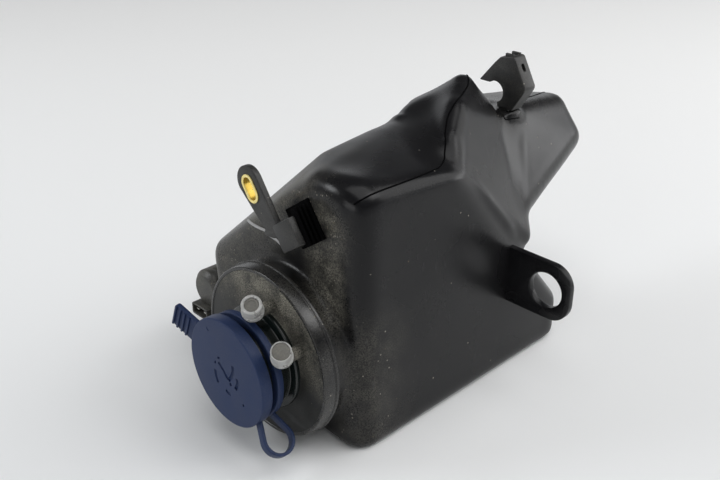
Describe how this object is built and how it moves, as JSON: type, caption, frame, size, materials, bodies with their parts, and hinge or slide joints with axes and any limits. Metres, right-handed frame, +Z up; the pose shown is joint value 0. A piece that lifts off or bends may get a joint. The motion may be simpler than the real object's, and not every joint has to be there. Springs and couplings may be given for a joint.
{
  "type": "washer fluid reservoir",
  "caption": "Blow-moulded windscreen washer fluid tank with a flat side, hump and side lobe, filler head with snap cap on a strap, mounting lug, bracket, clip and washer pump.",
  "frame": {"origin": "middle of the flat face the tank lies on", "axes": "+Z up, -X out along the filler neck, -Y out of the large flat side with the lug"},
  "size_m": [0.2869, 0.2006, 0.1809],
  "materials": {
    "tank": "satin",
    "head": "satin",
    "rubber": "matte",
    "cap": "satin",
    "sleeve": "translucent",
    "bracket": "matte",
    "bushing": "yellow passivated",
    "pump": "satin",
    "terminal": "tinned",
    "armature": "bare",
    "impeller": "satin"
  },
  "bodies": {
    "tank": {"tank": "tank", "filler_head": "head", "head_seal": "rubber", "cap_strap": "cap", "cap_collar": "cap", "sleeve_upper": "sleeve", "sleeve_lower": "sleeve", "bracket": "bracket", "bracket_bushing": "bushing", "top_clip": "bracket", "pump_motor": "pump", "pump_cover": "pump", "pump_terminals": "terminal", "pump_volute": "pump", "pump_grommet": "rubber", "pump_strainer": "impeller"},
    "cap": {"cap": "cap", "cap_seal": "rubber"},
    "rotor": {"pump_armature": "armature", "pump_impeller": "impeller"}
  },
  "joints": [
    {"name": "cap_swing", "type": "hinge", "parent": "tank", "child": "cap", "pos_m": [-0.125, -0.03857, 0.02165], "axis": [0, -0.6947, 0.7193], "range_deg": [0, 75], "deforming": ["cap_strap"]},
    {"name": "rotor_spin", "type": "hinge", "parent": "tank", "child": "rotor", "pos_m": [-0.0485, 0.0766, 0.042], "axis": [1, 0, 0], "continuous": true}
  ]
}
